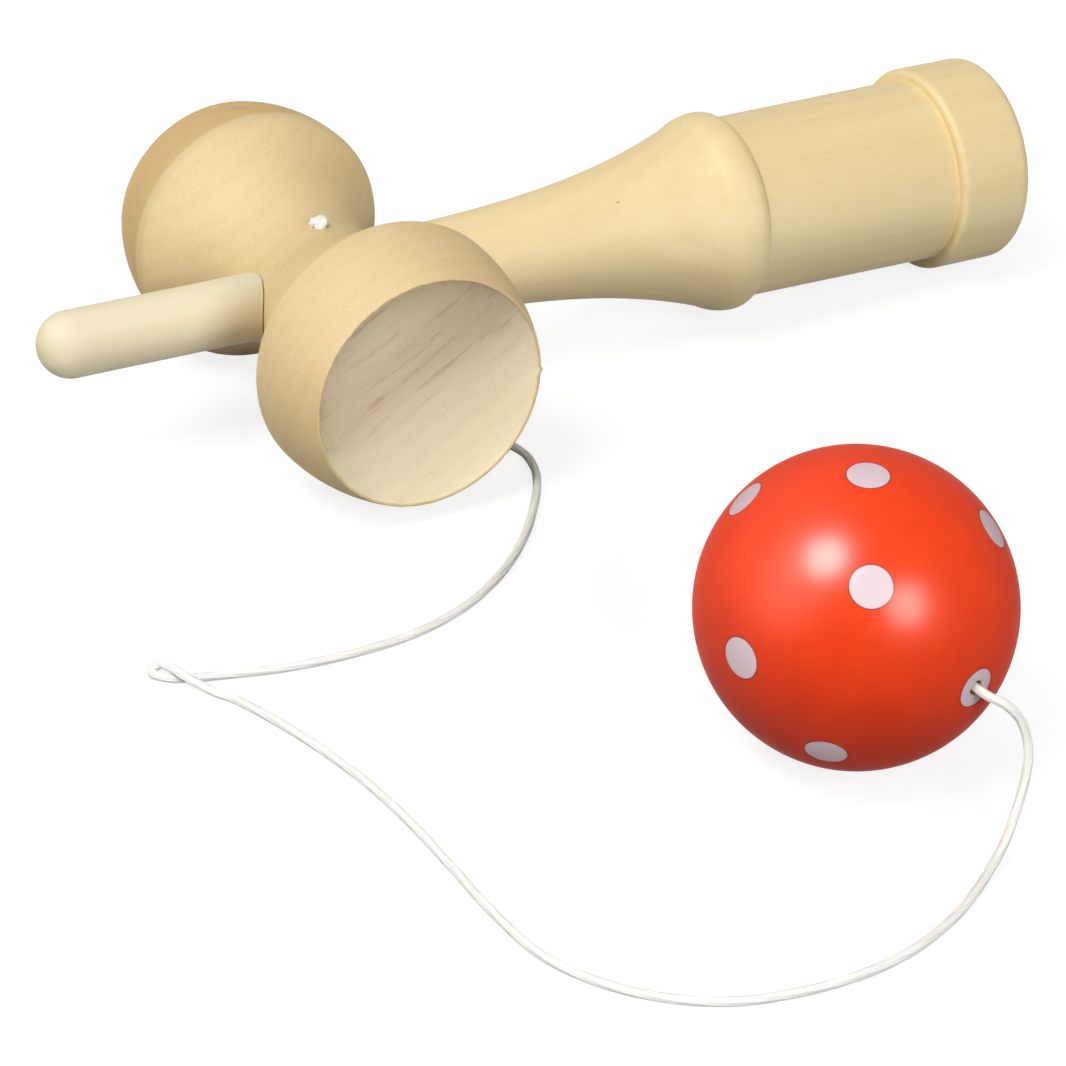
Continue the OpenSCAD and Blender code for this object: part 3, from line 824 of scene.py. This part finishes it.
class TOY_OT_spike(bpy.types.Operator):
    """Turn the spike: a dowel with a round tip and a tenon"""
    bl_idname = "toy.spike"
    bl_label = "Spike"

    def execute(self, context):
        size, cross, colours = toy().spike, toy().crosspiece, toy().colours
        socket_end = toy().handle.seat_at + size.socket
        dowel_end = -0.6 * cross.waist_r
        dowel = (arc((0, size.r - size.tip), size.r, -pi / 2, 0, 24)
                 + line((size.r, size.r - size.tip), (size.r, dowel_end), 24)[1:]
                 + [(size.r, dowel_end), (0, dowel_end)])
        spike = finish_mesh("round_spike", turn_on_lathe(dowel, 96), along_handle())
        (big, _), (small, _) = cup_outlines()
        waist = [(r + 2 * size.shoulder_gap, z) for r, z in
                 [(r, -z) for r, z in reversed(small[1:WAIST_STEPS + 1])] + big[:WAIST_STEPS + 1]]
        around = [(0, waist[0][1])] + waist + [(0, waist[-1][1])]
        cut_with(spike, finish_mesh("waist_shape", turn_on_lathe(around, 240), along_crosspiece()))
        # The shoulder is undercut to a neck, so that the seam is a fine dark line
        neck_r, neck_start, neck_end = size.tenon_r / 2, -cross.waist_r - size.r, -0.75 * cross.waist_r
        tenon = ([(0, neck_start), (neck_r, neck_start), (neck_r, neck_end)]
                 + line((size.tenon_r, neck_end), (size.tenon_r, socket_end), 24)
                 + [(size.tenon_r, socket_end), (0, socket_end)])
        inner = finish_mesh("spike_tenon", turn_on_lathe(tenon, 96), along_handle())
        cut_with(inner, string_hole_cutter("spike_string_hole"))
        join_into(spike, inner)
        # The blank's middle is set 11 mm above the dowel, so that its growth differs from the handle's
        off_middle = toy_place().translation + TOY_UP * 11 * MM
        spike.data.materials.append(turned_wood(
            "satin_lime_dowel", colours.dowel, colours.dowel_late,
            blank_along(TO_BASE, TO_BIG_CUP - TOY_UP, off_middle), fibre=0.9, gloss=0.04))
        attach(spike, "handle")
        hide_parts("spike")
        return {"FINISHED"}


def waist_curve(r, at):
    """Radius of the waist's curve on the side of a cup, so that it runs into the cup's shoulder."""
    size = toy().crosspiece
    return (at ** 2 + (r - size.waist_r) ** 2) / (2 * (r - size.waist_r)) - size.shoulder_round


def cup_outline(r, at, rim_r, rim_at):
    """Outline of one cup from the middle of the waist to its lip, and the outline of its hollow."""
    size = toy().crosspiece
    shoulder, curve = size.shoulder_round, waist_curve(r, at)
    lip_at = rim_at - size.lip_w / 2
    rim_arc = ((lip_at - at) ** 2 + (r - rim_r) ** 2) / (2 * (r - rim_r))
    bend = asin(at / (curve + shoulder))
    rim_bend = asin((lip_at - at) / rim_arc)
    mouth = asin((rim_r - size.lip_w) / size.hollow_r)
    hollow_at = lip_at + size.hollow_r * cos(mouth)
    outside = (arc((size.waist_r + curve, 0), curve, pi, pi - bend, WAIST_STEPS)
               + arc((r - shoulder, at), shoulder, -bend, 0, 12)[1:]
               + arc((r - rim_arc, at), rim_arc, 0, rim_bend, 16)[1:]
               + arc((rim_r - size.lip_w / 2, lip_at), size.lip_w / 2, rim_bend, pi, 10)[1:])
    hollow = arc((0, hollow_at), size.hollow_r, mouth - pi / 2, -pi / 2, 26)[1:]
    return outside, hollow


def cup_outlines():
    """Outline and hollow of the big cup, then of the small one."""
    size = toy().crosspiece
    return (cup_outline(size.big_r, size.big_at, size.big_rim_r, size.big_rim_at),
            cup_outline(size.small_r, size.small_at, size.small_rim_r, size.small_rim_at))


# How far from its edge a rim is uneven, the waves round it with their starts, and their height
RIM_REACH = 1.4 * MM
RIM_WAVES = ((23, 0.0), (41, 1.0), (67, 2.5))
RIM_WAVE_HEIGHT = 0.03 * MM
# Height and half width of the burr on the rim of the big cup
BURR = 0.45 * MM


def uneven_rim(at, rim_r):
    """How far the edge of a rim is off its circle, from waves round it, with a burr on the big cup."""
    turn = atan2(at.y, at.x)
    out = Vector((at.x, at.y, 0)).normalized()
    waves = RIM_WAVE_HEIGHT * sum(sin(count * turn + start) for count, start in RIM_WAVES)
    shift = out * waves + Vector((0, 0, waves if at.z < 0 else -waves))
    if at.z > 0:
        shift += out * BURR * exp(-(rim_r * turn / BURR) ** 2)
    return shift


class TOY_OT_crosspiece(bpy.types.Operator):
    """Turn the crosspiece with its two cups, and bore it for the handle, the spike and the string"""
    bl_idname = "toy.crosspiece"
    bl_label = "Crosspiece"

    def execute(self, context):
        size, spike, handle, colours = toy().crosspiece, toy().spike, toy().handle, toy().colours
        (big, big_hollow), (small, small_hollow) = cup_outlines()
        far = [(r, -z) for r, z in reversed(small[1:] + small_hollow)]
        shape = turn_on_lathe(far + big + big_hollow, 300)
        for point in shape.verts:
            rim_r, rim_at = ((size.big_rim_r, size.big_rim_at) if point.co.z > 0
                             else (size.small_rim_r, size.small_rim_at))
            off = hypot(hypot(point.co.x, point.co.y) - rim_r, abs(point.co.z) - rim_at)
            if off < RIM_REACH:
                point.co += uneven_rim(point.co, rim_r) * (1 - off / RIM_REACH)
        for face in shape.faces:
            middle = face.calc_center_median()
            rim_r = size.big_rim_r if middle.z > 0 else size.small_rim_r
            face.material_index = int(hypot(middle.x, middle.y) < rim_r - size.lip_w
                                      and abs(face.normal.z) > 0.6 and face.normal.z * middle.z > 0)
        crosspiece = finish_mesh("double_cup", shape, along_crosspiece())
        tail = 32 * MM
        bore_r = spike.tenon_r + spike.seam
        bore = [(0, -tail), (bore_r, -tail), (bore_r, handle.seat_at), (handle.tenon_r, handle.seat_at),
                (handle.tenon_r, tail), (0, tail)]
        grain = grain_of_crosspiece()
        # Direction across the growth sheets of the blank
        sheet_side = TO_BIG_CUP * 0.75 + TOY_UP * 0.52 - TO_BASE * 0.41
        blank = blank_along(grain, grain.cross(sheet_side), toy_place().translation)
        crosspiece.data.materials.append(turned_wood(
            "sanded_lime_crosspiece", colours.cross, colours.cross_late, blank, fibre=0.5, speck=1.0,
            painted_rim_shade=(-TO_BIG_CUP, size.small_at + 0.8 * MM, colours.rim), roughness=0.6, gloss=0.055))
        crosspiece.data.materials.append(turned_wood(
            "scraped_lime_hollow", colours.hollow, colours.hollow_late, blank, fibre=0.6, speck=0.7,
            heart=colours.heart, roughness=0.65, gloss=0.04))
        cut_with(crosspiece, finish_mesh("handle_bore", turn_on_lathe(bore, 128), along_handle()))
        cut_with(crosspiece, string_hole_cutter("waist_string_hole"))
        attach(crosspiece, "handle")
        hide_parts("crosspiece")
        return {"FINISHED"}


def grain_of_crosspiece():
    """The crosspiece's blank was sawn across the handle, with its grain turned up by this angle."""
    turn = radians(32)
    return TO_BASE * cos(turn) + TOY_UP * sin(turn)


class TOY_OT_ball(bpy.types.Operator):
    """Turn the ball, drill it for the spike and the string, and paint it"""
    bl_idname = "toy.ball"
    bl_label = "Ball"

    def execute(self, context):
        size, colours, hole_r = toy().ball, toy().colours, string_hole_r()
        cone_end = cone_tip() - hole_r / tan(size.drill_half_angle)
        mouth_r = size.spike_hole_r + size.mouth_round
        mouth_at = sqrt((size.r - size.mouth_round) ** 2 - mouth_r ** 2)
        mouth_angle = atan2(mouth_at, mouth_r)
        edge_r = hole_r + size.edge_round
        edge_at = sqrt((size.r - size.edge_round) ** 2 - edge_r ** 2)
        edge_angle = atan2(edge_at, edge_r)
        outside = (arc((mouth_r, -mouth_at), size.mouth_round, -pi, -mouth_angle, 12)
                   + arc((0, 0), size.r, -mouth_angle, edge_angle, 120)[1:]
                   + arc((edge_r, edge_at), size.edge_round, edge_angle, pi, 8)[1:])
        inside = (line((hole_r, edge_at), (hole_r, cone_end), 6)[1:]
                  + line((hole_r, cone_end), (size.spike_hole_r, size.spike_hole_past), 8)
                  + line((size.spike_hole_r, size.spike_hole_past), (size.spike_hole_r, -mouth_at), 16))
        shape = turn_on_lathe(outside + inside, 240)
        for face in shape.faces:
            middle = face.calc_center_median()
            face.material_index = int(middle.length < size.r - LACQUER_DEPTH)
        ball = finish_mesh("spotted_ball", shape, along_ball())
        ball.data.materials.append(spotted_lacquer("red_spotted_lacquer"))
        ball.data.materials.append(turned_wood(
            "drilled_beech_hole", colours.bead, colours.heart, blank_along(TOY_UP, TO_BASE, BALL_AT),
            roughness=0.75, gloss=0.04))
        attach(ball, "ball")
        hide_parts("ball")
        return {"FINISHED"}


# Stage

CAMERA_AT = Vector((-0.32046, -0.52409, 0.3677))
CAMERA_BACK = Vector((-0.41215, -0.74785, 0.52042)).normalized()
CAMERA_ROLL = radians(0.61)
CAMERA_LENS = 141.84
# Soft boxes: where each stands from the toy, how wide it is in metres, its power in watts and its tint
SOFT_BOXES = (
    ("key_box", (-0.495, -0.12, 0.86), 0.80, 14.7, (1.0, 0.975, 0.93)),
    ("front_box", (0.0, -0.872, 0.49), 0.80, 18.6, (0.96, 1.0, 1.03)),
    ("left_fill", (-0.9, -0.05, 0.34), 1.0, 8.0, (1.0, 1.0, 1.0)),
    ("back_fill", (-0.1, 0.8, 0.59), 1.0, 8.0, (0.96, 1.0, 1.04)),
    ("right_fill", (0.8, -0.2, 0.56), 1.0, 0.9, (1.0, 1.0, 1.0)),
)
# Gleams are seen in gloss only, and light nothing; the last value is how wide they spread
GLEAMS = (
    ("key_gleam", (-0.495, -0.12, 0.86), 0.84, 136.0, pi),
    ("front_gleam", (0.11, -0.868, 0.485), 0.80, 60.0, pi),
    ("window_gleam", (-0.845, 0.154, 0.513), 3.0, 52.0, radians(80)),
)
LAMP_DISTANCE = 1.8
# Light from the surround, the share of light that the table throws back, and its lift to white
ROOM_LIGHT = 0.155
TABLE_BOUNCE = 0.28
TABLE_GLOW = 0.80


def lamp(name, stand, size, watts, tint=(1.0, 1.0, 1.0), spread=pi, gleam=False):
    """A round soft box that faces the middle of the toy."""
    from_direction = Vector(stand).normalized()
    light = bpy.data.lights.new(name, "AREA")
    light.shape = "DISK"
    light.size = size
    light.energy = watts
    light.color = tint
    light.spread = spread
    box = new_object(name, light)
    box.visible_glossy = gleam
    box.visible_diffuse = not gleam
    box.matrix_world = (Matrix.Translation(from_direction * LAMP_DISTANCE)
                        @ from_direction.to_track_quat("Z", "Y").to_matrix().to_4x4())


class TOY_OT_stage(bpy.types.Operator):
    """Set the camera, the table, the soft boxes and the white surround"""
    bl_idname = "toy.stage"
    bl_label = "Stage"

    def execute(self, context):
        scene = context.scene
        scene.view_settings.view_transform = "Standard"
        right = Vector((0, 0, 1)).cross(CAMERA_BACK).normalized()
        up = CAMERA_BACK.cross(right)
        rolled_right = cos(CAMERA_ROLL) * right + sin(CAMERA_ROLL) * up
        rolled_up = cos(CAMERA_ROLL) * up - sin(CAMERA_ROLL) * right
        lens = bpy.data.cameras.new("camera")
        lens.lens = CAMERA_LENS
        lens.sensor_width = 36
        lens.clip_start = 0.01
        camera = new_object("camera", lens)
        camera.matrix_world = from_axes(rolled_right, rolled_up, CAMERA_BACK, CAMERA_AT)
        scene.camera = camera

        sheet = bmesh.new()
        bmesh.ops.create_grid(sheet, x_segments=8, y_segments=8, size=3)
        table = finish_mesh("table", sheet, Matrix.Identity(4))
        table.data.materials.append(white_table("white_sweep", TABLE_BOUNCE, TABLE_GLOW))

        for name, stand, width, watts, tint in SOFT_BOXES:
            lamp(name, stand, width, watts, tint)
        for name, stand, width, watts, spread in GLEAMS:
            lamp(name, stand, width, watts, spread=spread, gleam=True)
        world = bpy.data.worlds.new("white_room")
        world.use_nodes = True
        tree = world.node_tree
        tree.nodes.clear()
        strength = ramp(tree, rays_to_the_eye(tree), 0.0, 1.0, ROOM_LIGHT, 1.0, "LINEAR")
        room = add(tree, "ShaderNodeBackground", {"Color": (1, 1, 1, 1), "Strength": strength}).outputs[0]
        add(tree, "ShaderNodeOutputWorld", {"Surface": room})
        scene.world = world
        return {"FINISHED"}


class TOY_PT_panel(bpy.types.Panel):
    """Buttons for the pieces of the toy"""
    bl_idname = "TOY_PT_panel"
    bl_label = "Cup and ball toy"
    bl_space_type = "VIEW_3D"
    bl_region_type = "UI"
    bl_category = "Toy"

    def draw(self, context):
        for operator in OPERATORS:
            self.layout.operator(operator.bl_idname)


OPERATORS = (TOY_OT_stage, TOY_OT_knots, TOY_OT_bead, TOY_OT_string, TOY_OT_handle, TOY_OT_spike,
             TOY_OT_crosspiece, TOY_OT_ball)
CLASSES = (HandleSizes, SpikeSizes, CrosspieceSizes, BallSizes, StringSizes, ToyColours, ToySettings,
           *OPERATORS, TOY_PT_panel)


def register():
    for one in CLASSES:
        bpy.utils.register_class(one)
    bpy.types.Scene.toy_settings = PointerProperty(type=ToySettings)


def unregister():
    del bpy.types.Scene.toy_settings
    for one in reversed(CLASSES):
        bpy.utils.unregister_class(one)


def main():
    register()
    bpy.ops.toy.stage()
    bpy.ops.toy.knots()
    bpy.ops.toy.bead()
    bpy.ops.toy.string()
    bpy.ops.toy.handle()
    bpy.ops.toy.spike()
    bpy.ops.toy.crosspiece()
    bpy.ops.toy.ball()


if __name__ == "__main__":
    main()
